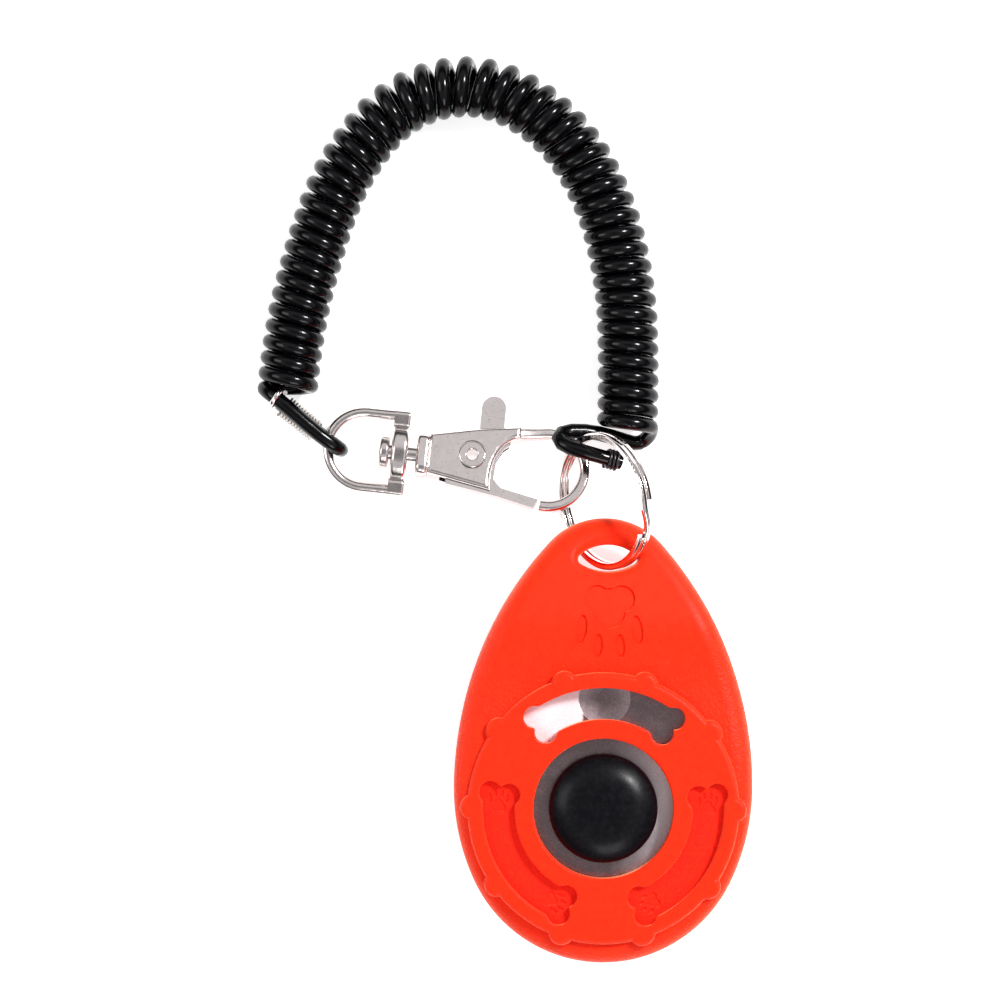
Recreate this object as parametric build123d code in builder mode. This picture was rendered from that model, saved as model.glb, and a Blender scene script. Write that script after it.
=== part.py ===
"""Clicker trainer: an egg-shaped clicker, a split ring, a swivel trigger clasp and a curly wrist cord.

Units are millimetres. The clicker lies on its back on the plane z = 0 with its button facing up (+Z).
The origin is on that plane, under the button's axis, and +Y points to the tip that carries the ring.
"""

import math
import os

from build123d import *

os.makedirs("parts", exist_ok=True)

# ---------------------------------------------------------------- clicker body
half_width = 21.45  # widest half width of the egg
widest_y = 2.9  # where the egg is widest
tip_radius = 10.8
tip_centre_y = 30.7
heel_radius = 20.34
heel_centre_y = -2.0
parting_z = 7.0  # joint between the two shells
wall = 1.8
ceiling_z = 12.8  # inside of the upper shell, over the plate

crown_points = [(37.5, 11.3), (31, 13.3), (25.5, 14.35), (20, 13.8)]
crown_points += [(10, 14.4), (-8, 14.5), (-26, 14.1)]
cavity_view = [(-26, wall), (12, wall), (30, 4.0), (30, 11.3), (21.5, 12.3)]
cavity_view += [(20.5, ceiling_z), (-26, ceiling_z)]

disc_radius = 19.45
disc_top_z = 15.6
disc_edge_radius = 0.8
opening_edge_radius = 0.3
bump_radius = 1.9
bump_inset = 0.85  # from the disc's rim to the middle of a bump
bump_count = 10
button_hole_radius = 10.0
bone_radius = 15.0  # centre line of the bones
bone_width = 4.5
bone_half_angle = 37.6
knob_radius = 1.6
knob_spread = 1.35  # from the centre line to the middle of a knob
shaft_corner_radius = 1.1
notch_radius = 0.3
recess_depth = 1.3
paw_radius = 15.0  # where the small paws stand in the bones
paw_inset_angle = 5.0
paw_size = 2.4
paw_depth = 0.22
tip_paw = (0.58, 27.6)
tip_paw_size = 8.0
tip_paw_depth = 0.4
root = 0.4  # how far a post or boss runs into the shell that it stands on

ring_hole_x = 0.35
ring_hole_half_width = 4.75
ring_hole_flare = (1.5, 1.2)  # chamfer of its lower mouth, rounding of its upper one
ring_hole_y = (33.75, 35.45, 37.65)  # lower edge, corners, upper edge

plate_thickness = 0.35
plate_top_z = 12.35
plate_width = 28.0
plate_y = (-12.8, 20.2)
dimple_radius = 3.75
dimple_y = 15.6
dimple_ball = 16.0  # radius of the sphere that the dimple is part of
button_radius = 7.8
button_side_z = 15.1
button_top_z = 17.0
stem_radius = 2.0
retainer_z = 11.2
retainer_size = (4.4, 0.5)  # radius and thickness
retainer_slit = (1.4, 0.35)
post_points = [(-11.5, -10.0), (11.5, -10.0), (-11.5, 17.0), (11.5, 17.0)]
post_radius = 1.5
screw_points = [(0, 25.8), (0, -17.2)]
screw_radius = 1.0
screw_head_radius = 1.9
screw_head_z = (0.9, 2.2)
screw_drive = (2.2, 0.5)  # length and width of each of its two slots
screw_drive_depth = 0.6
screw_tip_z = 11.0
boss_radius = 2.6

# ---------------------------------------------------------------- split ring
ring_radius = 9.5  # to the middle of the wire
ring_wire = (1.0, 0.94)  # radial and axial size of one lap
ring_centre = (-0.22, 43.97, 8.6)
ring_lean = 53.0  # the ring's plane above the floor
ring_turn = 10.7  # direction of its highest point, from +X

# ---------------------------------------------------------------- clasp
clasp_origin = (-28.5, 50.4, 3.28)  # on the swivel axis, beside the collar
clasp_yaw = -5.3
clasp_pitch = 0.9
clasp_roll = 13.0
eye_roll = 2.0  # the swivel eye's own turn about the shank
collar_x = (0.9, 2.75)
collar_size = (6.2, 4.2)
post_head_radius = 2.45
post_head_x = (-4.5, -3.1)
housing = [(12.05, -4.4), (2.7, -2.8), (2.7, 3.1), (10.2, 4.7), (15.8, 5.5), (15.8, 3.8)]
housing_mouth = [(15.8, 3.8), (13.6, 2.5), (12.3, 0.1), (12.05, -4.4)]  # inner side, facing the hook
lever_slot = [(4.6, -6), (4.6, 0), (7.8, 3.0), (7.8, 6.5), (14.4, 6.5), (14.4, 3.1), (16, 2.6), (16, -6)]
hook_width = 1.6
hook_radius = 5.45  # to the middle of the arm
hook_sweep = 195.75
hook_root = [(12.5, 4.15), (19.4, 5.15)]
hook_run = (hook_root[1][0] - hook_root[0][0], hook_root[1][1] - hook_root[0][1])
hook_thickness = 1.95
hook_taper = [(0.36, 3.0, 1.7), (0.62, 2.35, 1.66), (0.9, 1.98, 1.63)]  # share of the root, depth, width
housing_thickness = 3.8
slot_width = 2.3
rivet_at = (9.0, 0.5)
rivet_bore = 0.8
rivet_radius = 1.33
rivet_head_radius = 1.94
rivet_head_height = 0.5
rivet_seat = (2.15, 0.35)  # radius and depth
post_shaft_radius = 1.3
running_gap = 0.06
eye_wire_radius = 0.8
eye_half_width = 5.45
eye_bow_x = -6.6
eye_bar_x = (-2.75, -0.35)
eye_bar_size = (9.0, 1.6)
eye_corner_y = 5.0  # where the bar meets the wire
eye_corner_size = (2.5, 1.9)
eye_boss_size = (3.95, 2.5)
lever_width = 2.1
lever_sheet = 0.45
lever_web = [(5.5, -3.5), (5.5, -3.96), (13.2, -5.1), (18.5, -6.25), (18.65, -5.8), (13.3, -4.65)]
lever_flange = [(5.5, -3.1), (5.5, -3.96), (13.2, -5.1), (18.5, -6.25), (19.2, -4.95)]
lever_flange += [(13.6, -3.8), (12.4, -2.6), (12.6, 0.3), (13.5, 1.9), (14.3, 2.6), (13.8, 4.0)]
lever_flange += [(10.2, 4.0), (6.8, 1.8), (6.6, -1.0)]
tongue_at = (11.5, 8.0)  # centre of its round end
tongue_width = 3.5
spring_radius = 1.75
spring_wire = 0.14  # radius
spring_height = 0.74
spring_leg = 1.7

# ---------------------------------------------------------------- cord
cord_radius = 1.1
coil_radius = 4.5
coil_z = 4.6
coil_route = [
    (-46.4, 59.4),
    (-45.6, 68.0),
    (-42.9, 79.5),
    (-38.9, 91.5),
    (-30.8, 102.0),
    (-18.8, 104.9),
    (-7.6, 98.9),
    (-0.6, 88.2),
    (2.6, 75.6),
    (3.2, 64.0),
    (3.1, 55.5),
]
clasp_end_route = [
    (-49.6, 60.6, 5.2),
    (-48.3, 58.6, 6.4),
    (-45.2, 56.1, 6.3),
    (-41.6, 53.0, 5.9),
    (-38.55, 50.95, 5.6),
    (-38.55, 50.95, 1.35),
    (-41.7, 53.15, 1.55),
    (-44.75, 55.6, 1.85),
    (-47.6, 57.75, 1.9),
]
ring_end_route = [
    (6.6, 52.75, 4.7),
    (6.2, 52.3, 2.5),
    (4.3, 51.9, 1.9),
    (1.15, 53.3, 3.7),
    (-3.1, 54.3, 5.0),
    (-7.0, 53.95, 5.7),
    (-6.8, 52.1, 7.8),
    (-3.8, 51.2, 8.2),
    (-0.9, 50.4, 7.8),
    (2.1, 49.6, 6.9),
]
clip_radius = 1.78
clip_bands = {
    "wire_clip_clasp_end": [
        ((-42.2, 53.55, 1.82), (-46.7, 57.07, 1.9)),
        ((-47.9, 58.28, 6.39), (-47.2, 57.71, 6.37)),
    ],
    "wire_clip_ring_end": [((0.6, 50.05, 7.1), (2.2, 49.57, 6.88))],
}


# ---------------------------------------------------------------- helpers
def egg(inset=0.0):
    """The egg outline, moved in by inset."""
    drop_tip = tip_centre_y - widest_y
    drop_heel = widest_y - heel_centre_y
    side = (half_width**2 + drop_tip**2 - tip_radius**2) / (2 * (half_width - tip_radius))
    low_side = (half_width**2 + drop_heel**2 - heel_radius**2) / (2 * (half_width - heel_radius))
    tip_angle = math.degrees(math.atan2(drop_tip, side - half_width))
    heel_angle = math.degrees(math.atan2(drop_heel, low_side - half_width))
    with BuildSketch(Plane.XY) as outline:
        with BuildLine():
            CenterArc((0, tip_centre_y), tip_radius - inset, tip_angle, 180 - 2 * tip_angle)
            CenterArc((half_width - side, widest_y), side - inset, 0, tip_angle)
            CenterArc((side - half_width, widest_y), side - inset, 180 - tip_angle, tip_angle)
            CenterArc((half_width - low_side, widest_y), low_side - inset, -heel_angle, heel_angle)
            CenterArc((low_side - half_width, widest_y), low_side - inset, 180, heel_angle)
            CenterArc((0, heel_centre_y), heel_radius - inset, 180 + heel_angle, 180 - 2 * heel_angle)
        make_face()
    return outline.sketch


def side_view():
    """The clicker's side view: flat back, rising tip, shoulder, and the valley before the disc."""
    with BuildSketch(Plane.XY) as outline:
        with BuildLine():
            Line((-26, 0), (10, 0))
            rise = TangentArc((10, 0), (44, 5.8), tangent=(1, 0))
            Line(rise @ 1, (44, 8.9))
            crown = Spline((44, 8.9), *crown_points)
            Line(crown @ 1, (-26, 0))
        make_face()
    return outline.sketch


def in_ring_hole(edge):
    """True for an edge round either mouth of the ring hole."""
    middle = edge.center()
    return abs(middle.X - ring_hole_x) < 5 and 33 < middle.Y < 38.5 and edge.geom_type != GeomType.LINE


def in_notch(corner):
    """True for the corner between a bone end's two knobs."""
    return abs(math.hypot(corner.X, corner.Y) - bone_radius) < 0.1


def bone(angle):
    """One arched bone centred on the given angle: a shaft with two knobs at each end."""
    with BuildSketch(Plane.XY) as outline:
        with BuildLine():
            start, size = angle - bone_half_angle, 2 * bone_half_angle
            outer = CenterArc((0, 0), bone_radius + bone_width / 2, start, size)
            inner = CenterArc((0, 0), bone_radius - bone_width / 2, start, size)
            Line(outer @ 0, inner @ 0)
            Line(outer @ 1, inner @ 1)
        make_face()
        for end in (-1, 1):
            turn = math.radians(angle + end * bone_half_angle)
            for knob_at in (bone_radius - knob_spread, bone_radius + knob_spread):
                with Locations((knob_at * math.cos(turn), knob_at * math.sin(turn))):
                    Circle(knob_radius)
        fillet(vertices().filter_by(lambda v: not in_notch(v)), radius=shaft_corner_radius)
        fillet(vertices().filter_by(in_notch), radius=notch_radius)
    return outline.sketch


def paw(x, y, size, angle):
    """A paw print: a heart-shaped pad and four toes, given as shares of its size."""
    with BuildSketch(Plane.XY) as outline:
        with Locations((0, -0.13 * size)):
            Ellipse(0.3 * size, 0.36 * size)
        for side in (-1, 1):
            with Locations((side * 0.22 * size, -0.3 * size)):
                Circle(0.24 * size)
            with Locations(Location((side * 0.2 * size, 0.54 * size), -side * 4)):
                Ellipse(0.09 * size, 0.21 * size)
            with Locations(Location((side * 0.5 * size, 0.25 * size), -side * 8)):
                Ellipse(0.105 * size, 0.26 * size)
    return outline.sketch.moved(Location((x, y, 0), (0, 0, angle)))


def on_plane(base, x=0.0, y=0.0, z=0.0, facing="z"):
    """A plane at local x, y, z of the base plane, facing along one of its directions."""
    origin = base.from_local_coords(Vector(x, y, z))
    if facing == "x":
        return Plane(origin, x_dir=base.y_dir, z_dir=base.x_dir)
    if facing == "y":
        return Plane(origin, x_dir=base.x_dir, z_dir=-base.y_dir)
    return Plane(origin, x_dir=base.x_dir, z_dir=base.z_dir)


def leaning_plane(origin, yaw, pitch, roll):
    """A plane whose x axis is turned by yaw, dipped by pitch and rolled about itself."""
    yaw, pitch, roll = (math.radians(a) for a in (yaw, pitch, roll))
    along = Vector(math.cos(yaw) * math.cos(pitch), math.sin(yaw) * math.cos(pitch), -math.sin(pitch))
    across = Vector(-math.sin(yaw), math.cos(yaw), 0)
    up = along.cross(across)
    return Plane(origin, x_dir=along, z_dir=up * math.cos(roll) + across * math.sin(roll))


def route_radii(points, share=0.45):
    """The largest fillet radius at each inner point of a route."""
    radii = []
    for before, here, after in zip(points, points[1:], points[2:]):
        arriving = Vector(*here) - Vector(*before)
        leaving = Vector(*after) - Vector(*here)
        half_turn = math.radians(arriving.get_angle(leaving)) / 2
        radii.append(share * min(arriving.length, leaving.length) / math.tan(half_turn))
    return radii


def report_tube(name, points, line, tube_radius, part):
    """Print a tube's length, its volume over section times length, and its bend radii."""
    share = part.volume / (math.pi * tube_radius**2 * line.length)
    radii = ", ".join(f"{radius:.1f}" for radius in route_radii(points))
    print(f"{name}: length {line.length:.1f}, volume share {share:.4f}, radii {radii}")


# ---------------------------------------------------------------- clicker shells
with BuildPart() as envelope:
    with BuildSketch():
        add(egg())
    extrude(amount=20)
    with BuildSketch(Plane.YZ.offset(-30)):
        add(side_view())
    extrude(amount=60, mode=Mode.INTERSECT)
    rims = envelope.edges().filter_by(GeomType.LINE, reverse=True)
    fillet(rims.filter_by(lambda e: e.center().Z > parting_z), radius=2.8)
    rims = envelope.edges().filter_by(GeomType.LINE, reverse=True)
    fillet(rims.filter_by(lambda e: e.center().Z < 5.0), radius=1.7)

with BuildPart() as cavity:
    with BuildSketch():
        add(egg(inset=wall))
    extrude(amount=20)
    with BuildSketch(Plane.YZ.offset(-30)):
        with BuildLine():
            Polyline(*cavity_view, close=True)
        make_face()
    extrude(amount=60, mode=Mode.INTERSECT)

with BuildPart() as ring_hole:
    with BuildSketch():
        low_y, corner_y, high_y = ring_hole_y
        left = ring_hole_x - ring_hole_half_width
        right = ring_hole_x + ring_hole_half_width
        with BuildLine():
            ThreePointArc((left, corner_y), (ring_hole_x, high_y), (right, corner_y))
            ThreePointArc((left, corner_y), (ring_hole_x, low_y), (right, corner_y))
        make_face()
        fillet(vertices(), radius=0.8)
    extrude(amount=20)

with BuildPart() as tip_paw_cutter:
    with BuildSketch(Plane.XY.offset(parting_z)):
        add(paw(*tip_paw, tip_paw_size, 180))
    extrude(amount=20)
    add(envelope.part.moved(Location((0, 0, -tip_paw_depth))), mode=Mode.SUBTRACT)

with BuildPart() as upper_shell:
    add(envelope.part)
    split(bisect_by=Plane.XY.offset(parting_z), keep=Keep.TOP)
    with BuildSketch(Plane.XY.offset(ceiling_z)):
        Circle(disc_radius)
        with PolarLocations(disc_radius - bump_inset, bump_count):
            Circle(bump_radius)
    extrude(amount=disc_top_z - ceiling_z)
    fillet(faces().sort_by(Axis.Z)[-1].edges(), radius=disc_edge_radius)
    add(cavity.part, mode=Mode.SUBTRACT)
    with BuildSketch(Plane.XY.offset(parting_z)):
        with Locations(*screw_points):
            Circle(boss_radius)
    extrude(amount=ceiling_z - parting_z)
    with BuildSketch(Plane.XY.offset(plate_top_z)):
        with Locations(*post_points):
            Circle(post_radius)
    extrude(amount=ceiling_z - plate_top_z + root)
    with BuildSketch(Plane.XY.offset(parting_z)):
        with Locations(*screw_points):
            Circle(screw_radius - 0.05)
    extrude(amount=screw_tip_z - parting_z + 0.3, mode=Mode.SUBTRACT)
    with BuildSketch(Plane.XY.offset(parting_z)):
        Circle(button_hole_radius)
        add(bone(90))
    extrude(amount=20, mode=Mode.SUBTRACT)
    with BuildSketch(Plane.XY.offset(disc_top_z - recess_depth)):
        add(bone(210))
        add(bone(330))
    extrude(amount=5, mode=Mode.SUBTRACT)
    panel_face = faces().filter_by(GeomType.PLANE).sort_by(Axis.Z)[-1]
    opening_edges = [edge for wire in panel_face.inner_wires() for edge in wire.edges()]
    fillet(opening_edges, radius=opening_edge_radius)
    with BuildSketch(Plane.XY.offset(disc_top_z - recess_depth - paw_depth)):
        for bone_angle in (210, 330):
            for end in (-1, 1):
                paw_angle = bone_angle + end * (bone_half_angle - paw_inset_angle)
                turn = math.radians(paw_angle)
                paw_x, paw_y = paw_radius * math.cos(turn), paw_radius * math.sin(turn)
                add(paw(paw_x, paw_y, paw_size, paw_angle - 90 + end * 90))
    extrude(amount=2, mode=Mode.SUBTRACT)
    add(tip_paw_cutter.part, mode=Mode.SUBTRACT)
    add(ring_hole.part, mode=Mode.SUBTRACT)
    mouth = edges().filter_by(lambda e: in_ring_hole(e) and e.center().Z > parting_z + 0.1)
    fillet(mouth, radius=ring_hole_flare[1])
upper_shell.part.label = "upper_shell"
export_step(upper_shell.part, "parts/upper_shell.step")

with BuildPart() as lower_shell:
    add(envelope.part)
    split(bisect_by=Plane.XY.offset(parting_z), keep=Keep.BOTTOM)
    add(cavity.part, mode=Mode.SUBTRACT)
    with BuildSketch(Plane.XY.offset(wall - root)):
        with Locations(*post_points):
            Circle(post_radius)
    extrude(amount=plate_top_z - plate_thickness - wall + root)
    with BuildSketch(Plane.XY.offset(wall - root)):
        with Locations(*screw_points):
            Circle(boss_radius)
    extrude(amount=parting_z - wall + root)
    with BuildSketch():
        with Locations(*screw_points):
            Circle(screw_head_radius + 0.2)
    extrude(amount=screw_head_z[1], mode=Mode.SUBTRACT)
    with BuildSketch():
        with Locations(*screw_points):
            Circle(screw_radius + 0.1)
    extrude(amount=parting_z + 1, mode=Mode.SUBTRACT)
    add(ring_hole.part, mode=Mode.SUBTRACT)
    mouth = edges().filter_by(lambda e: in_ring_hole(e) and e.center().Z < parting_z - 0.1)
    chamfer(mouth, length=ring_hole_flare[0])
lower_shell.part.label = "lower_shell"
export_step(lower_shell.part, "parts/lower_shell.step")

with BuildPart() as shell_screws:
    with BuildSketch(Plane.XY.offset(screw_head_z[0])):
        with Locations(*screw_points):
            Circle(screw_head_radius)
    extrude(amount=screw_head_z[1] - screw_head_z[0])
    with BuildSketch(Plane.XY.offset(screw_head_z[1])):
        with Locations(*screw_points):
            Circle(screw_radius)
    extrude(amount=screw_tip_z - screw_head_z[1])
    with BuildSketch(Plane.XY.offset(screw_head_z[0])):
        for drive_angle in (0, 90):
            with Locations(*[Location((x, y), drive_angle) for x, y in screw_points]):
                Rectangle(*screw_drive)
    extrude(amount=screw_drive_depth, mode=Mode.SUBTRACT)
shell_screws.part.label = "shell_screws"
export_step(shell_screws.part, "parts/shell_screws.step")

# ---------------------------------------------------------------- click plate and button
with BuildPart() as click_plate:
    plate_centre_y = sum(plate_y) / 2
    with BuildSketch(Plane.XY.offset(plate_top_z - plate_thickness)):
        with Locations((0, plate_centre_y)):
            RectangleRounded(plate_width, plate_y[1] - plate_y[0], 5)
        Circle(stem_radius + 0.15, mode=Mode.SUBTRACT)
    extrude(amount=plate_thickness)
    with BuildSketch(Plane.XY.offset(plate_top_z - plate_thickness)):
        with Locations((0, dimple_y)):
            Circle(dimple_radius)
    extrude(amount=plate_thickness, mode=Mode.SUBTRACT)
    with BuildSketch(Plane.YZ):
        with BuildLine():
            reaches = (0, dimple_radius / 2, dimple_radius)
            sag = [math.sqrt(dimple_ball**2 - reach**2) for reach in reaches]
            for z in (plate_top_z, plate_top_z - plate_thickness):
                bowl = [(dimple_y + i * dimple_radius / 2, z - sag[i] + sag[2]) for i in range(3)]
                ThreePointArc(*bowl)
            Line((dimple_y, z - sag[0] + sag[2]), (dimple_y, z + plate_thickness - sag[0] + sag[2]))
            Line((dimple_y + dimple_radius, z), (dimple_y + dimple_radius, z + plate_thickness))
        make_face()
    revolve(axis=Axis((0, dimple_y, 0), (0, 0, 1)))
click_plate.part.label = "click_plate"
export_step(click_plate.part, "parts/click_plate.step")

with BuildPart() as button_cap:
    with BuildSketch(Plane.XZ):
        with BuildLine():
            Line((0, plate_top_z), (button_radius, plate_top_z))
            Line((button_radius, plate_top_z), (button_radius, button_side_z - 0.9))
            Spline(
                (button_radius, button_side_z - 0.9),
                (button_radius - 1.0, button_side_z + 0.75),
                (0, button_top_z),
                tangents=((0, 1), (-1, 0)),
            )
            Line((0, button_top_z), (0, plate_top_z))
        make_face()
    revolve(axis=Axis.Z)
    with BuildSketch(Plane.XY.offset(retainer_z - 0.8)):
        Circle(stem_radius)
    extrude(amount=plate_top_z - retainer_z + 0.8)
button_cap.part.label = "button_cap"
export_step(button_cap.part, "parts/button_cap.step")

with BuildPart() as button_retainer:
    with BuildSketch(Plane.XY.offset(retainer_z)):
        Circle(retainer_size[0])
        Circle(stem_radius, mode=Mode.SUBTRACT)
        with PolarLocations(stem_radius + 0.9, 4):
            Rectangle(*retainer_slit, mode=Mode.SUBTRACT)
    extrude(amount=retainer_size[1])
button_retainer.part.label = "button_retainer"
export_step(button_retainer.part, "parts/button_retainer.step")

# ---------------------------------------------------------------- split ring
high_side = leaning_plane(ring_centre, ring_turn, -ring_lean, 0)
ring_axis = Axis(high_side.origin, high_side.z_dir)
lap_pitch = ring_wire[1] - 0.03
lap_ends = (-38.0, -5.0)  # where the wire ends, round the ring from its highest point
joggle = (-34.0, -8.0)  # where the wire crosses from one lap to the other


def ring_section(angle, shift):
    """The wire's section plane at an angle round the ring, shifted along the ring's axis."""
    turn = math.radians(angle)
    outward = high_side.x_dir * math.cos(turn) + high_side.y_dir * math.sin(turn)
    along = high_side.y_dir * math.cos(turn) - high_side.x_dir * math.sin(turn)
    origin = high_side.origin + outward * ring_radius + high_side.z_dir * shift
    return Plane(origin, x_dir=outward, z_dir=-along)


with BuildPart() as split_ring:
    for start, stop, side in ((lap_ends[1], joggle[0] + 360, -1), (joggle[1], lap_ends[0] + 360, 1)):
        with BuildSketch(ring_section(start, side * lap_pitch / 2)):
            RectangleRounded(*ring_wire, 0.3)
        revolve(axis=ring_axis, revolution_arc=stop - start)
    for step in range(5):
        share = step / 4
        angle = joggle[0] + share * (joggle[1] - joggle[0])
        with BuildSketch(ring_section(angle, -lap_pitch / 2 * math.cos(math.pi * share))):
            RectangleRounded(*ring_wire, 0.3)
    loft()
split_ring.part.label = "split_ring"
export_step(split_ring.part, "parts/split_ring.step")

# ---------------------------------------------------------------- clasp
clasp = leaning_plane(clasp_origin, clasp_yaw, clasp_pitch, clasp_roll)
eye = leaning_plane(clasp_origin, clasp_yaw, clasp_pitch, eye_roll)
rivet = on_plane(clasp, *rivet_at)

with BuildPart() as collar:
    with BuildSketch(on_plane(clasp, x=collar_x[0], facing="x")):
        RectangleRounded(*collar_size, 1.2)
    extrude(amount=collar_x[1] - collar_x[0])
    collar_ends = edges().group_by(Axis(clasp.origin, clasp.x_dir))
    fillet(collar_ends[0] + collar_ends[-1], radius=0.6)

with BuildPart() as post_head:
    with BuildSketch(on_plane(clasp, x=post_head_x[0], facing="x")):
        Circle(post_head_radius)
    extrude(amount=post_head_x[1] - post_head_x[0])
    fillet(edges(), radius=0.45)

with BuildPart() as hook_neck:
    neck_run = Line(*(clasp.from_local_coords(Vector(x, y, 0)) for x, y in hook_root), mode=Mode.PRIVATE)
    for share, depth, width in hook_taper:
        with BuildSketch(Plane(neck_run @ share, x_dir=clasp.z_dir, z_dir=neck_run % 0)):
            RectangleRounded(depth, width, 0.6)
    loft()

with BuildPart() as clasp_body:
    with BuildSketch(on_plane(clasp, z=-housing_thickness / 2)):
        with BuildLine():
            Polyline(*housing)
            Spline(*housing_mouth)
        make_face()
    extrude(amount=housing_thickness)
    levels = edges().group_by(Axis(clasp.origin, clasp.z_dir))
    fillet(levels[0] + levels[-1], radius=0.6)
    with BuildLine(clasp):
        shank = Line(*hook_root)
        JernArc(start=hook_root[1], tangent=hook_run, radius=hook_radius, arc_size=-hook_sweep)
    with BuildSketch(Plane(shank @ 0, x_dir=clasp.z_dir, z_dir=shank % 0)):
        RectangleRounded(hook_thickness, hook_width, 0.6)
    sweep()
    add(hook_neck.part)
    add(collar.part)
    add(post_head.part)
    with BuildSketch(on_plane(clasp, x=post_head_x[1], facing="x")):
        Circle(post_shaft_radius)
    extrude(amount=collar_x[0] - post_head_x[1])
    with BuildSketch(on_plane(clasp, z=-slot_width / 2)):
        with BuildLine():
            Polyline(*lever_slot, close=True)
        make_face()
    extrude(amount=slot_width, mode=Mode.SUBTRACT)
    with BuildSketch(on_plane(rivet, z=-3)):
        Circle(rivet_radius + 0.04)
    extrude(amount=6, mode=Mode.SUBTRACT)
    for side in (-1, 1):
        with BuildSketch(on_plane(rivet, z=side * (housing_thickness / 2 - rivet_seat[1]))):
            Circle(rivet_seat[0])
        extrude(amount=side * 1, mode=Mode.SUBTRACT)
clasp_body.part.label = "clasp_body"
export_step(clasp_body.part, "parts/clasp_body.step")

bar_left, bar_right = eye_bar_x

with BuildPart() as eye_boss:
    with BuildSketch(on_plane(eye, x=bar_left, facing="x")):
        Ellipse(*eye_boss_size)
    extrude(amount=bar_right - bar_left)
    fillet(edges(), radius=0.6)

with BuildPart() as swivel_eye:
    with BuildLine(eye):
        Line((bar_right, eye_half_width), (eye_bow_x, eye_half_width))
        bow_end = eye_bow_x - eye_half_width
        ThreePointArc((eye_bow_x, eye_half_width), (bow_end, 0), (eye_bow_x, -eye_half_width))
        Line((eye_bow_x, -eye_half_width), (bar_right, -eye_half_width))
    with BuildSketch(on_plane(eye, bar_right, eye_half_width, facing="x")):
        Circle(eye_wire_radius)
    sweep()
    with BuildSketch(on_plane(eye, x=bar_left, facing="x")):
        for end in (-1, 1):
            with Locations((end * eye_corner_y, 0)):
                RectangleRounded(*eye_corner_size, 0.7)
    extrude(amount=bar_right - bar_left)
    bar_ends = edges().group_by(Axis(eye.origin, eye.x_dir))
    fillet(bar_ends[-1], radius=0.4)
    with BuildSketch(on_plane(eye, x=bar_left + 0.25, facing="x")):
        Rectangle(*eye_bar_size)
    extrude(amount=bar_right - bar_left - 0.5)
    add(eye_boss.part)
    with BuildSketch(on_plane(eye, x=bar_left - 1, facing="x")):
        Circle(post_shaft_radius + running_gap)
    extrude(amount=5, mode=Mode.SUBTRACT)
swivel_eye.part.label = "swivel_eye"
export_step(swivel_eye.part, "parts/swivel_eye.step")

with BuildPart() as gate_lever:
    flange = lever_width / 2 - lever_sheet
    for low, high in ((-lever_width / 2, -flange), (flange, lever_width / 2)):
        with BuildSketch(on_plane(clasp, z=low)):
            with BuildLine():
                Polyline(*lever_flange, close=True)
            make_face()
        extrude(amount=high - low)
    with BuildSketch(on_plane(clasp, z=-flange)):
        with BuildLine():
            Polyline(*lever_web, close=True)
        make_face()
    extrude(amount=2 * flange)
    with BuildSketch(on_plane(clasp, z=flange)):
        with Locations((tongue_at[0], (tongue_at[1] + 3) / 2)):
            Rectangle(tongue_width, tongue_at[1] - 3)
        with Locations(tongue_at):
            Circle(tongue_width / 2)
    extrude(amount=lever_sheet)
    with BuildSketch(on_plane(rivet, z=-3)):
        Circle(rivet_radius + running_gap)
    extrude(amount=6, mode=Mode.SUBTRACT)
gate_lever.part.label = "gate_lever"
export_step(gate_lever.part, "parts/gate_lever.step")

with BuildPart() as gate_rivet:
    head_z = housing_thickness / 2
    with BuildSketch(on_plane(rivet, facing="y")):
        with Locations(((rivet_radius + rivet_bore) / 2, 0)):
            Rectangle(rivet_radius - rivet_bore, 2 * head_z)
        for end in (-1, 1):
            with Locations(((rivet_head_radius + rivet_bore) / 2, end * (head_z - 0.08))):
                RectangleRounded(rivet_head_radius - rivet_bore, rivet_head_height, 0.2)
    revolve(axis=Axis(rivet.origin, rivet.z_dir))
gate_rivet.part.label = "gate_rivet"
export_step(gate_rivet.part, "parts/gate_rivet.step")

with BuildPart() as gate_spring:
    foot = on_plane(rivet, z=-spring_height / 2)
    with BuildLine():
        turns = Helix(0.3, spring_height, spring_radius, center=foot.origin, direction=foot.z_dir)
    with BuildSketch(Plane(turns @ 0, z_dir=turns % 0)):
        Circle(spring_wire)
    sweep()
    for end, way in ((0, -1), (1, 1)):
        with BuildSketch(Plane(turns @ end, z_dir=(turns % end) * way)):
            Circle(spring_wire)
        extrude(amount=spring_leg)
gate_spring.part.label = "gate_spring"
export_step(gate_spring.part, "parts/gate_spring.step")

# ---------------------------------------------------------------- cord
coil_points = [(x, y, coil_z) for x, y in coil_route]
with BuildPart() as coil_cord:
    with BuildLine():
        coil_line = FilletPolyline(*coil_points, radius=route_radii(coil_points))
    with BuildSketch(Plane(coil_line @ 0, z_dir=coil_line % 0)):
        Circle(coil_radius)
    sweep()
coil_cord.part.label = "coil_cord"
export_step(coil_cord.part, "parts/coil_cord.step")
report_tube("coil_cord", coil_points, coil_line, coil_radius, coil_cord.part)

loop_routes = {"cord_loop_clasp_end": clasp_end_route, "cord_loop_ring_end": ring_end_route}
for loop_name, loop_route in loop_routes.items():
    with BuildPart() as cord_loop:
        with BuildLine():
            loop_line = FilletPolyline(*loop_route, radius=route_radii(loop_route))
        with BuildSketch(Plane(loop_line @ 0, z_dir=loop_line % 0)):
            Circle(cord_radius)
        sweep()
    cord_loop.part.label = loop_name
    export_step(cord_loop.part, f"parts/{loop_name}.step")
    report_tube(loop_name, loop_route, loop_line, cord_radius, cord_loop.part)

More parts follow.
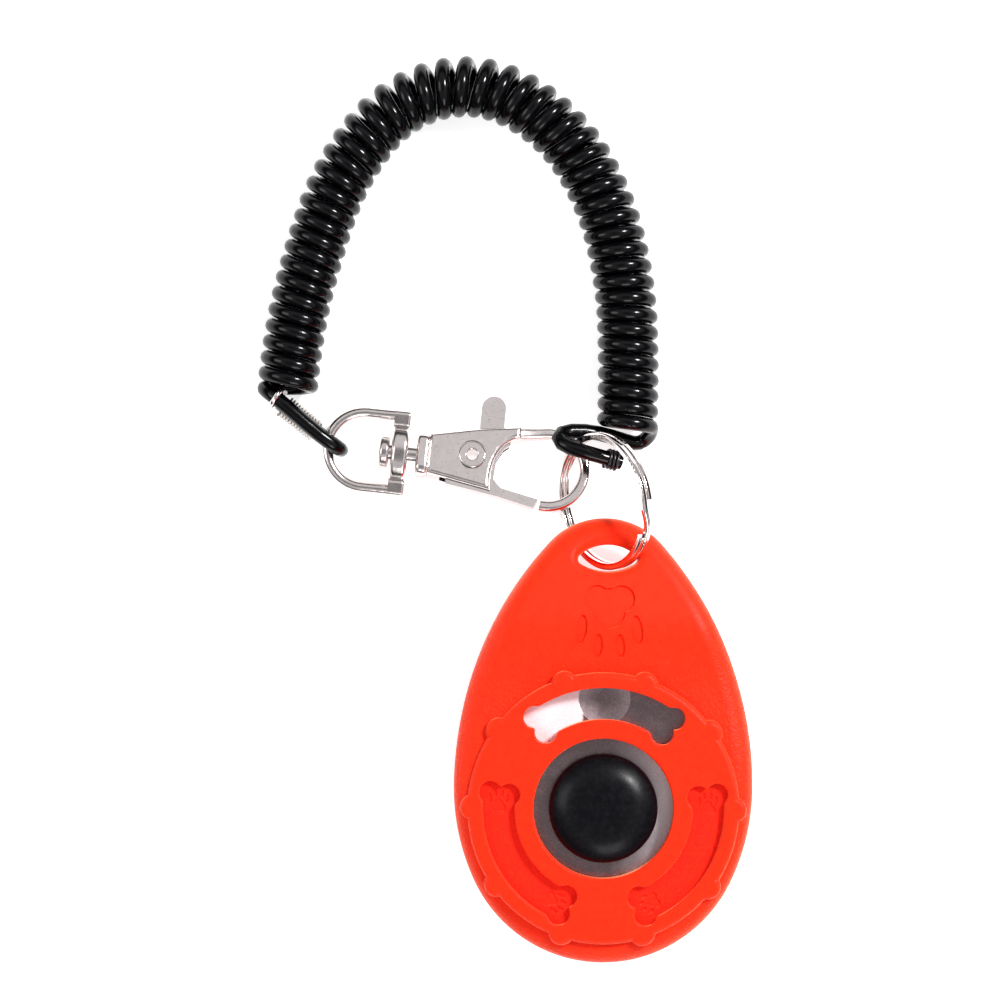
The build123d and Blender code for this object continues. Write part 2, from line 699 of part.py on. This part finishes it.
for clip_name, bands in clip_bands.items():
    with BuildPart() as wire_clip:
        for start, stop in bands:
            run = Vector(*stop) - Vector(*start)
            with BuildSketch(Plane(start, z_dir=run)):
                Circle(clip_radius)
                Circle(cord_radius + 0.02, mode=Mode.SUBTRACT)
            extrude(amount=run.length)
    wire_clip.part.label = clip_name
    export_step(wire_clip.part, f"parts/{clip_name}.step")
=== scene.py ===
"""Looks of the clicker trainer: materials, curly cord, wound wires, floor, light and camera.

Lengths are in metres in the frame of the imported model. Routes are in millimetres in that frame.
"""

import math

import bpy
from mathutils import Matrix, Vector


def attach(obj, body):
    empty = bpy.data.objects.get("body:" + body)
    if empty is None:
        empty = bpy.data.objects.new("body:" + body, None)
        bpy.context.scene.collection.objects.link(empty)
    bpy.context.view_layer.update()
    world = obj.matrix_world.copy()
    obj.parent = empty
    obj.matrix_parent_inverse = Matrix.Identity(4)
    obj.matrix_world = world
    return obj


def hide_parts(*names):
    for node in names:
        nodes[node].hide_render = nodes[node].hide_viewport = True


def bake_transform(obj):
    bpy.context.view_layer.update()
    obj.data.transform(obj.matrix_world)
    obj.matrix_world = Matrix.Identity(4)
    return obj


MM = 0.001
UP = Vector((0, 0, 1))

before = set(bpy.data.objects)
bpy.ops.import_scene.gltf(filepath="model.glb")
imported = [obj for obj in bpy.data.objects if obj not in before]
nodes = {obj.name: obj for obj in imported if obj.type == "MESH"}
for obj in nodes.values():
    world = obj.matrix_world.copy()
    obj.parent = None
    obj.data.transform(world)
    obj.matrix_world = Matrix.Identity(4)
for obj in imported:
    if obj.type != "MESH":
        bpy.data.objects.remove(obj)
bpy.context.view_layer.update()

# ---------------------------------------------------------------- cord and wire sizes
CORD_RADIUS = 1.1 * MM
CORD_RESOLUTION = 2  # mesh rings between two control points
HELIX_RADIUS = 3.4 * MM  # the coil's centre line
TURN_GAP = 0.03 * MM  # air between two turns where they are closest
POINTS_PER_TURN = 16
ROUTE_STEP = 0.25 * MM
ROUTE_RESOLUTION = 24
BEND_WINDOW = 16  # steps to each side of a point, for the bend of the coil's route
MOST_SPREAD = 0.6  # the largest share of a turn's pitch that comes from a bend
TANGENT_WINDOW = 4  # steps to each side of a point, for its tangent
TOLERANCE = 1e-12
COIL_Z = 4.6
COIL_ROUTE = [
    (-46.4, 59.4, COIL_Z),
    (-45.6, 68.0, COIL_Z),
    (-42.9, 79.5, COIL_Z),
    (-38.9, 91.5, COIL_Z),
    (-30.8, 102.0, COIL_Z),
    (-18.8, 104.9, COIL_Z),
    (-7.6, 98.9, COIL_Z),
    (-0.6, 88.2, COIL_Z),
    (2.6, 75.6, COIL_Z),
    (3.2, 64.0, COIL_Z),
    (3.1, 54.8, COIL_Z),
]
CLASP_END_ROUTE = [
    (-47.6, 57.75, 1.9),
    (-44.75, 55.6, 1.85),
    (-41.7, 53.15, 1.55),
    (-38.55, 50.95, 1.35),
    (-38.55, 50.95, 5.6),
    (-41.6, 53.0, 5.9),
    (-45.2, 56.1, 6.3),
    (-48.3, 58.6, 6.4),
]
RING_END_ROUTE = [
    (6.45, 53.8, 2.9),
    (5.6, 52.8, 1.75),
    (4.2, 52.3, 1.95),
    (1.15, 53.3, 3.7),
    (-3.1, 54.2, 5.0),
    (-7.0, 53.95, 5.7),
    (-6.8, 52.1, 7.8),
    (-3.8, 51.2, 8.2),
    (-0.9, 50.4, 7.8),
    (2.1, 49.6, 6.9),
]
# Where a wire starts and stops on its loop.
SLEEVE_STRETCH = ((-46.9, 57.2, 1.9), (-42.2, 53.55, 1.8))
TIE_STRETCH = ((-47.5, 57.95, 6.4), (-48.3, 58.6, 6.4))
CLIP_STRETCH = ((-0.1, 50.2, 7.4), (1.7, 49.7, 7.0))
WIRE_RADIUS = 0.22 * MM
TIE_WIRE_RADIUS = 0.34 * MM
SLEEVE_RADIUS = 1.55 * MM
LOOP_RESOLUTION = 40
WIRE_STEP = 0.05 * MM
WIRE_RESOLUTION = 3
WIRE_POINTS_PER_TURN = 14


# ---------------------------------------------------------------- object and curve helpers
def add_object(name, data):
    obj = bpy.data.objects.new(name, data)
    bpy.context.scene.collection.objects.link(obj)
    return obj


def spline_object(name, points, resolution, bevel=0.0):
    """A smooth curve object with the points as its control points."""
    data = bpy.data.curves.new(name, "CURVE")
    data.dimensions = "3D"
    spline = data.splines.new("NURBS")
    spline.points.add(len(points) - 1)
    for target, point in zip(spline.points, points):
        target.co = (*point, 1.0)
    spline.order_u = 3
    spline.use_endpoint_u = True
    spline.resolution_u = resolution
    data.bevel_depth = bevel
    data.bevel_resolution = 4
    data.use_fill_caps = bevel > 0
    return add_object(name, data)


def mesh_instead_of(curve):
    """The curve object's mesh. The curve object itself is removed."""
    bpy.context.view_layer.update()
    graph = bpy.context.evaluated_depsgraph_get()
    mesh = bpy.data.meshes.new_from_object(curve.evaluated_get(graph))
    bpy.data.objects.remove(curve)
    return mesh


def line_points(points, resolution):
    """Points along the smooth line that the control points give."""
    mesh = mesh_instead_of(spline_object("guide", points, resolution))
    line = [vertex.co.copy() for vertex in mesh.vertices]
    bpy.data.meshes.remove(mesh)
    return line


def in_metres(route):
    return [Vector(point) * MM for point in route]


def line_length(line):
    return sum((b - a).length for a, b in zip(line, line[1:]))


def even_steps(line, step):
    """The line again as points about one step apart, with its tangents and the exact step."""
    total = line_length(line)
    count = max(2, round(total / step))
    gap = total / count
    points = [line[0]]
    walked, wanted = 0.0, gap
    for start, stop in zip(line, line[1:]):
        run = (stop - start).length
        while wanted <= walked + run + TOLERANCE and len(points) < count:
            points.append(start.lerp(stop, (wanted - walked) / run))
            wanted += gap
        walked += run
    points.append(line[-1])
    tangents = []
    for i in range(count + 1):
        ahead, behind = min(i + TANGENT_WINDOW, count), max(i - TANGENT_WINDOW, 0)
        tangents.append((points[ahead] - points[behind]).normalized())
    return points, tangents, gap


def curly_helix(route):
    """Close turns of cord round the route: left-handed, spread where the route bends."""
    points, tangents, gap = even_steps(line_points(in_metres(route), ROUTE_RESOLUTION), ROUTE_STEP)
    last = len(points) - 1
    straight_pitch = 2 * CORD_RADIUS + TURN_GAP
    turns = [0.0]
    for i in range(1, len(points)):
        before, after = max(i - BEND_WINDOW, 0), min(i + BEND_WINDOW, last)
        bend = tangents[after].angle(tangents[before]) / (gap * (after - before))
        pitch = straight_pitch / (1 - min(MOST_SPREAD, HELIX_RADIUS * bend))
        turns.append(turns[-1] + gap / pitch)
    whole = round(turns[-1])
    stretch = whole / turns[-1]
    # The control polygon's corners lie outside the smooth line that it gives.
    radius = HELIX_RADIUS / math.cos(math.pi / POINTS_PER_TURN)
    helix = []
    i = 0
    for step in range(whole * POINTS_PER_TURN + 1):
        turn = step / POINTS_PER_TURN
        while i < last - 1 and turns[i + 1] * stretch < turn:
            i += 1
        share = (turn - turns[i] * stretch) / ((turns[i + 1] - turns[i]) * stretch)
        centre = points[i].lerp(points[i + 1], min(1.0, share))
        side = UP.cross(tangents[i])
        angle = -2 * math.pi * turn
        helix.append(centre + radius * (math.cos(angle) * side + math.sin(angle) * UP))
    return helix


def wound_wire(name, line, turns, radius, wire_radius):
    """Wire wound round a stretch of line."""
    points, tangents, _ = even_steps(line, WIRE_STEP)
    count = len(points) - 1
    steps = round(turns * WIRE_POINTS_PER_TURN)
    side = tangents[0].cross(UP).normalized()
    wound = []
    for step in range(steps + 1):
        at = step / steps * count
        i = min(int(at), count - 1)
        centre = points[i].lerp(points[i + 1], at - i)
        side = (side - side.dot(tangents[i]) * tangents[i]).normalized()
        up = tangents[i].cross(side)
        angle = 2 * math.pi * step / WIRE_POINTS_PER_TURN
        wound.append(centre + radius * (math.cos(angle) * side + math.sin(angle) * up))
    return spline_object(name, wound, WIRE_RESOLUTION, bevel=wire_radius)


def stretch_of(line, ends):
    """The part of a line between the points nearest to the two ends."""
    first, final = (
        min(range(len(line)), key=lambda i: (line[i] - end).length) for end in in_metres(ends)
    )
    return line[first : final + 1]


# ---------------------------------------------------------------- material helpers
class Recipe:
    """A procedural material: a shader and short calls for the nodes that feed it."""

    def __init__(self, name, **values):
        self.material = bpy.data.materials.new(name)
        self.material.use_nodes = True
        self.tree = self.material.node_tree
        self.shader = self.tree.nodes["Principled BSDF"]
        self.place = self.add("ShaderNodeTexCoord").outputs["Object"]
        for socket, value in values.items():
            self.shader.inputs[socket.replace("_", " ")].default_value = value

    def add(self, kind, **settings):
        node = self.tree.nodes.new(kind)
        for key, value in settings.items():
            setattr(node, key, value)
        return node

    def link(self, output, target):
        self.tree.links.new(output, target)

    def fill(self, socket, value):
        """Set a socket, or link it where the value is another node's output."""
        if isinstance(value, bpy.types.NodeSocket):
            self.link(value, socket)
        else:
            socket.default_value = value

    def feed(self, **outputs):
        """Link outputs to the shader's inputs of those names."""
        for socket, output in outputs.items():
            self.link(output, self.shader.inputs[socket.replace("_", " ")])

    def axes(self):
        """The place's coordinates: across, along and height."""
        node = self.add("ShaderNodeSeparateXYZ")
        self.link(self.place, node.inputs[0])
        return node.outputs[:]

    def math(self, operation, *values):
        node = self.add("ShaderNodeMath", operation=operation)
        for socket, value in zip(node.inputs, values):
            self.fill(socket, value)
        return node.outputs[0]

    def times(self, first, second):
        return self.math("MULTIPLY", first, second)

    def reach(self, across, along):
        """The distance that the two legs span."""
        squares = [self.math("POWER", leg, 2.0) for leg in (across, along)]
        return self.math("SQRT", self.math("ADD", *squares))

    def noise(self, scale, detail, place=None):
        node = self.add("ShaderNodeTexNoise")
        self.link(place or self.place, node.inputs["Vector"])
        node.inputs["Scale"].default_value = scale
        node.inputs["Detail"].default_value = detail
        node.inputs["Roughness"].default_value = 0.55
        return node.outputs["Fac"]

    def cells(self, scale):
        node = self.add("ShaderNodeTexVoronoi", feature="SMOOTH_F1")
        self.link(self.place, node.inputs["Vector"])
        node.inputs["Scale"].default_value = scale
        node.inputs["Smoothness"].default_value = 0.6
        return node.outputs["Distance"]

    def stretched(self, scale):
        node = self.add("ShaderNodeMapping")
        self.link(self.place, node.inputs["Vector"])
        node.inputs["Scale"].default_value = scale
        return node.outputs["Vector"]

    def spread(self, value, span, ends=(0.0, 1.0)):
        """The value with its span mapped to the two ends, and held there beyond it."""
        node = self.add("ShaderNodeMapRange")
        self.link(value, node.inputs["Value"])
        for socket, number in zip(node.inputs[1:5], (*span, *ends)):
            socket.default_value = number
        return node.outputs[0]

    def mix(self, factor, first, second):
        node = self.add("ShaderNodeMix", data_type="RGBA")
        self.fill(node.inputs[0], factor)
        for socket, colour in zip(node.inputs[6:8], (first, second)):  # the two colour sockets
            self.fill(socket, colour)
        return node.outputs[2]

    def bump(self, height, distance, strength=1.0, under=None):
        node = self.add("ShaderNodeBump")
        self.fill(node.inputs["Strength"], strength)
        node.inputs["Distance"].default_value = distance
        self.link(height, node.inputs["Height"])
        if under is not None:
            self.link(under, node.inputs["Normal"])
        return node.outputs["Normal"]


# ---------------------------------------------------------------- materials
# Where a finish, or a painted light or shade, changes on the clicker. Each pair is where the change
# starts and ends.
PANEL_RIM = (18.2 * MM, 18.5 * MM)  # from the button's axis
RECESS_FLOOR = (14.4 * MM, 15.0 * MM)  # height
PANEL_FACE = (15.3 * MM, 15.55 * MM)  # height
TIP_SLOPE = (21.0 * MM, 27.0 * MM)  # along, from the button's axis
# These washer and dimple bounds mark out where the steel has a painted reflection.
WASHER_RIM = (10.4 * MM, 11.0 * MM)  # from the button's axis
WASHER_RIGHT = (1.0 * MM, 9.0 * MM)  # across
DIMPLE_RIM = (3.6 * MM, 3.8 * MM)  # from the dimple's centre
DIMPLE_LEFT = (-3.2 * MM, -2.8 * MM)  # across
DIMPLE_Y = 15.6 * MM

ORANGE = (0.95, 0.0180, 0.0013, 1)
BRIGHT_ORANGE = (1.0, 0.0235, 0.0018, 1)
PORE_ORANGE = (0.74, 0.010, 0.002, 1)
# A darker, redder orange: painted shade on the recess floors.
RECESS_SHADE_ORANGE = (0.80, 0.004, 0.004, 1)
SHEEN_ORANGE = (1.0, 0.45, 0.2, 1)
BUTTON_BLACK = (0.002, 0.002, 0.003, 1)
DUSTY_BLACK = (0.006, 0.005, 0.007, 1)
CORD_BLACK = (0.0008, 0.0008, 0.0012, 1)
WORN_BLACK = (0.0022, 0.0022, 0.003, 1)
# Two copies of the steel: a dark pinkish one that is painted shade, and a light one that is a
# painted reflection.
PAINTED_SHADE_STEEL = ((0.30, 0.22, 0.23, 1), (0.38, 0.29, 0.30, 1))
PAINTED_GLARE_STEEL = ((0.90, 0.84, 0.86, 1), (0.98, 0.93, 0.95, 1))
CARD_GREY = (0.66, 0.66, 0.66, 1)
WHITE = (1, 1, 1, 1)


def orange_plastic():
    """Moulded plastic: leather-like grain on the shells, finer on the panel, and a darker, redder
    painted shade on the recess floors.
    """
    made = Recipe(
        "orange_plastic", Specular_IOR_Level=0.11, Sheen_Weight=0.5, Sheen_Tint=SHEEN_ORANGE
    )
    across, along, height = made.axes()
    inside = made.spread(made.reach(across, along), PANEL_RIM, (1.0, 0.0))
    recess = made.times(inside, made.spread(height, RECESS_FLOOR, (1.0, 0.0)))

    grain = made.math("ADD", made.cells(2600.0), made.times(made.noise(6000.0, 2.0), 0.5))
    on_panel = made.spread(height, PANEL_FACE, (1.0, 0.4))
    on_tip = made.spread(along, TIP_SLOPE, (1.0, 0.12))
    in_recess = made.spread(recess, (0.0, 1.0), (1.0, 0.45))
    depth = made.times(made.times(on_panel, on_tip), in_recess)
    skin = made.bump(grain, 0.07 * MM, depth)
    made.feed(Normal=made.bump(made.noise(350.0, 2.0), 0.03 * MM, 0.6, skin))

    mottle = made.spread(made.noise(900.0, 4.0), (0.35, 0.65))
    colour = made.mix(mottle, ORANGE, BRIGHT_ORANGE)
    colour = made.mix(made.spread(grain, (0.25, 0.75), (0.0, 0.25)), colour, PORE_ORANGE)
    # Painted shade: the recess floors get the darker, redder orange, in patches.
    recess_shade = made.times(recess, made.spread(made.cells(2200.0), (0.1, 0.7), (0.75, 0.3)))
    made.feed(
        Base_Color=made.mix(recess_shade, colour, RECESS_SHADE_ORANGE),
        Roughness=made.spread(grain, (0.2, 0.8), (0.34, 0.48)),
    )
    return made.material


def black_plastic():
    """The button: smooth plastic with a little dust."""
    made = Recipe("black_plastic", Specular_IOR_Level=0.14)
    dust = made.spread(made.noise(1500.0, 5.0), (0.45, 0.75))
    made.feed(
        Base_Color=made.mix(dust, BUTTON_BLACK, DUSTY_BLACK),
        Roughness=made.spread(made.noise(600.0, 4.0), (0.3, 0.7), (0.26, 0.36)),
        Normal=made.bump(made.noise(2500.0, 3.0), 0.012 * MM),
    )
    return made.material


def cord_vinyl():
    """The cord: glossy soft plastic, a little worn."""
    made = Recipe("cord_vinyl", Specular_IOR_Level=0.22)
    wear = made.spread(made.noise(700.0, 4.0), (0.4, 0.75))
    made.feed(
        Base_Color=made.mix(wear, CORD_BLACK, WORN_BLACK),
        Roughness=made.spread(made.noise(450.0, 3.0), (0.3, 0.7), (0.11, 0.19)),
        Normal=made.bump(made.noise(900.0, 2.0), 0.015 * MM, 0.5),
    )
    return made.material


def nickel(name, tone, roughness, lump, lump_scale):
    """Nickel plate: faint mottle, small dark pits, patchy roughness, hairlines and low lumps."""
    made = Recipe(name, Metallic=1.0)
    dark, pitted = (tuple(channel * share for channel in tone) for share in (0.94, 0.4))
    patch = made.spread(made.noise(500.0, 5.0), (0.3, 0.7))
    plate = made.mix(patch, (*dark, 1), (*tone, 1))
    pits = made.spread(made.noise(4200.0, 2.0), (0.64, 0.70), (0.0, 0.7))
    rough_ends = (roughness * 0.75, roughness * 1.35)
    lumps = made.bump(made.noise(lump_scale, 2.0), lump, 0.8)
    hairlines = made.noise(900.0, 3.0, made.stretched((0.25, 3.0, 1.0)))
    made.feed(
        Base_Color=made.mix(pits, plate, (*pitted, 1)),
        Roughness=made.spread(made.noise(1100.0, 4.0), (0.3, 0.7), rough_ends),
        Normal=made.bump(hairlines, 0.006 * MM, 0.7, lumps),
    )
    return made.material


def rolled_steel():
    """The click plate and washer: satin steel in a dark pinkish painted shade, with a lighter
    painted reflection left of the dimple and right of the button.
    """
    made = Recipe("rolled_steel", Metallic=1.0)
    across, along, _ = made.axes()
    # Painted reflection: the steel is lighter left of the dimple, outside the washer, and on the
    # washer's right side.
    from_dimple = made.math("SUBTRACT", along, DIMPLE_Y)
    off_dimple = made.spread(made.reach(across, from_dimple), DIMPLE_RIM)
    left = made.spread(across, DIMPLE_LEFT, (1.0, 0.0))
    off_washer = made.spread(made.reach(across, along), WASHER_RIM)
    glare_left = made.times(made.times(left, off_dimple), off_washer)
    on_washer = made.math("SUBTRACT", 1.0, off_washer)
    glare_right = made.times(made.spread(across, WASHER_RIGHT, (0.0, 0.55)), on_washer)
    painted_glare = made.math("MAXIMUM", glare_left, glare_right)

    speckle = made.spread(made.noise(3000.0, 4.0), (0.35, 0.65))
    satin = made.spread(made.noise(700.0, 3.0), (0.3, 0.7), (0.22, 0.3))
    rolling = made.noise(1600.0, 3.0, made.stretched((4.0, 0.15, 1.0)))
    pits = made.bump(made.noise(2600.0, 3.0), 0.01 * MM)
    made.feed(
        # Painted shade everywhere else, from the dark pinkish steel.
        Base_Color=made.mix(
            painted_glare, made.mix(speckle, *PAINTED_SHADE_STEEL), made.mix(speckle, *PAINTED_GLARE_STEEL)
        ),
        Roughness=made.math("ADD", satin, made.times(painted_glare, 0.32)),
        Normal=made.bump(rolling, 0.002 * MM, 0.5, pits),
    )
    return made.material


def floor_card():
    """Pale card, a little lit from below as on a light table, which keeps the shadows faint."""
    made = Recipe(
        "floor_card",
        Base_Color=CARD_GREY,
        Roughness=0.9,
        Specular_IOR_Level=0.1,
        Emission_Color=WHITE,
        Emission_Strength=0.7,
    )
    made.feed(Normal=made.bump(made.noise(300.0, 3.0), 0.02 * MM, 0.2))
    return made.material


def dress(mesh, finish):
    """Give the mesh that finish and no other."""
    mesh.materials.clear()
    mesh.materials.append(finish)


bright_nickel = nickel("bright_nickel", (0.84, 0.77, 0.75), 0.10, 0.02 * MM, 260.0)
cast_nickel = nickel("cast_nickel", (0.80, 0.73, 0.71), 0.16, 0.04 * MM, 420.0)
plated_wire = nickel("plated_wire", (0.58, 0.54, 0.51), 0.24, 0.01 * MM, 500.0)
dark_wire = nickel("dark_wire", (0.06, 0.055, 0.06), 0.3, 0.01 * MM, 500.0)
orange = orange_plastic()
steel = rolled_steel()

finish_of = {
    "upper_shell": orange,
    "lower_shell": orange,
    "click_plate": steel,
    "button_retainer": steel,
    "shell_screws": plated_wire,
    "button_cap": black_plastic(),
    "split_ring": bright_nickel,
    "clasp_body": cast_nickel,
    "swivel_eye": cast_nickel,
    "gate_lever": bright_nickel,
    "gate_rivet": bright_nickel,
    "gate_spring": plated_wire,
}
for node_name, finish in finish_of.items():
    dress(nodes[node_name].data, finish)

# ---------------------------------------------------------------- the cord and its wires
clasp_end, ring_end = in_metres(CLASP_END_ROUTE), in_metres(RING_END_ROUTE)
cord_points = clasp_end + curly_helix(COIL_ROUTE) + ring_end
cord_path = line_points(cord_points, CORD_RESOLUTION)
cord_mesh = mesh_instead_of(
    spline_object("cord_line", cord_points, CORD_RESOLUTION, bevel=CORD_RADIUS)
)
cord_mesh.polygons.foreach_set("use_smooth", [True] * len(cord_mesh.polygons))
dress(cord_mesh, cord_vinyl())
curly_cord = add_object("curly_cord", cord_mesh)

clasp_loop = line_points(clasp_end, LOOP_RESOLUTION)
ring_loop = line_points(ring_end, LOOP_RESOLUTION)
clasp_sleeve = wound_wire(
    "cord_sleeve_wire",
    stretch_of(clasp_loop, SLEEVE_STRETCH),
    turns=11.5,
    radius=SLEEVE_RADIUS,
    wire_radius=WIRE_RADIUS,
)
clasp_tie = wound_wire(
    "cord_tie_wire",
    stretch_of(clasp_loop, TIE_STRETCH),
    turns=1.2,
    radius=CORD_RADIUS + TIE_WIRE_RADIUS,
    wire_radius=TIE_WIRE_RADIUS,
)
ring_clip = wound_wire(
    "cord_clip_wire",
    stretch_of(ring_loop, CLIP_STRETCH),
    turns=3.5,
    radius=CORD_RADIUS + WIRE_RADIUS,
    wire_radius=WIRE_RADIUS,
)
for wire, finish in (
    (clasp_sleeve, plated_wire),
    (clasp_tie, bright_nickel),
    (ring_clip, dark_wire),
):
    wire.data.materials.append(finish)
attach(clasp_sleeve, "strap")
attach(clasp_tie, "strap")
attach(ring_clip, "clasp")
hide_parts("wire_clip_clasp_end")
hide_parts("wire_clip_ring_end")

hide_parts("coil_cord", "cord_loop_clasp_end", "cord_loop_ring_end")
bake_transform(curly_cord)

# ---------------------------------------------------------------- floor, light and camera
FLOOR_HALF = 3.0
LIT_POINT = Vector((-15.0, 43.0, 5.0)) * MM
LIGHTS = [  # name, place, size, power
    ("key", (0.34, 0.30, 0.46), 0.12, 5.2),
    ("fill", (-0.50, 0.12, 0.42), 0.30, 1.0),
    ("front", (0.10, -0.50, 0.42), 0.30, 1.3),
]
WORLD_STRENGTH = 0.66
WORLD_BLUE = 1.02  # blue against red and green
WORLD_STEPS = [  # height of a direction from 0 level to 1 straight up, light
    (0.0, 0.8),
    (0.13, 0.8),
    (0.18, 0.06),
    (0.42, 0.08),
    (0.55, 1.05),
    (0.93, 1.05),
    (0.97, 0.38),
]
FRONT_DIM = (-0.6, -0.2, 0.75, 1.0)  # a direction's Y from and to, then its share of the light
CAMERA_HEIGHT = 650 * MM
CAMERA_X, CAMERA_Y = -15.24 * MM, 43.86 * MM
CAMERA_TURN = math.radians(0.7)
VIEW_WIDTH = 146.45 * MM  # what the picture spans on the floor
SENSOR_WIDTH = 36.0


def add_floor():
    corners = [(-1, -1, 0), (1, -1, 0), (1, 1, 0), (-1, 1, 0)]
    data = bpy.data.meshes.new("floor")
    data.from_pydata([Vector(corner) * FLOOR_HALF for corner in corners], [], [(0, 1, 2, 3)])
    data.materials.append(floor_card())
    return add_object("floor", data)


def area_light(name, place, size, power):
    """A square soft light that faces the lit point."""
    data = bpy.data.lights.new(name, "AREA")
    data.size = size
    data.energy = power
    light = add_object(name, data)
    light.location = place
    light.rotation_euler = (LIT_POINT - Vector(place)).to_track_quat("-Z", "Y").to_euler()


def studio_world():
    """A pale tent: a dark band low round it, a dim front and a dim opening over the camera."""
    world = bpy.data.worlds.new("studio")
    world.use_nodes = True
    tree = world.node_tree
    direction = tree.nodes.new("ShaderNodeTexCoord").outputs["Generated"]
    split = tree.nodes.new("ShaderNodeSeparateXYZ")
    tree.links.new(direction, split.inputs[0])
    ramp = tree.nodes.new("ShaderNodeValToRGB")
    tree.links.new(split.outputs["Z"], ramp.inputs[0])
    elements = ramp.color_ramp.elements
    while len(elements) < len(WORLD_STEPS):
        elements.new(1.0)
    for element, (height, light) in zip(elements, WORLD_STEPS):
        element.position = height
        element.color = (light, light, light * WORLD_BLUE, 1)
    front = tree.nodes.new("ShaderNodeMapRange")
    tree.links.new(split.outputs["Y"], front.inputs["Value"])
    for socket, number in zip(front.inputs[1:5], FRONT_DIM):
        socket.default_value = number
    strength = tree.nodes.new("ShaderNodeMath")
    strength.operation = "MULTIPLY"
    tree.links.new(front.outputs[0], strength.inputs[0])
    strength.inputs[1].default_value = WORLD_STRENGTH
    back = tree.nodes["Background"]
    tree.links.new(ramp.outputs["Color"], back.inputs["Color"])
    tree.links.new(strength.outputs[0], back.inputs["Strength"])
    bpy.context.scene.world = world


def add_camera():
    """A camera straight above the object."""
    data = bpy.data.cameras.new("camera")
    data.sensor_width = SENSOR_WIDTH
    data.lens = data.sensor_width * CAMERA_HEIGHT / VIEW_WIDTH
    camera = add_object("camera", data)
    camera.location = (CAMERA_X, CAMERA_Y, CAMERA_HEIGHT)
    camera.rotation_euler = (0, 0, CAMERA_TURN)
    bpy.context.scene.camera = camera


floor = add_floor()
for light in LIGHTS:
    area_light(*light)
studio_world()
add_camera()
bpy.context.scene.view_settings.view_transform = "Standard"
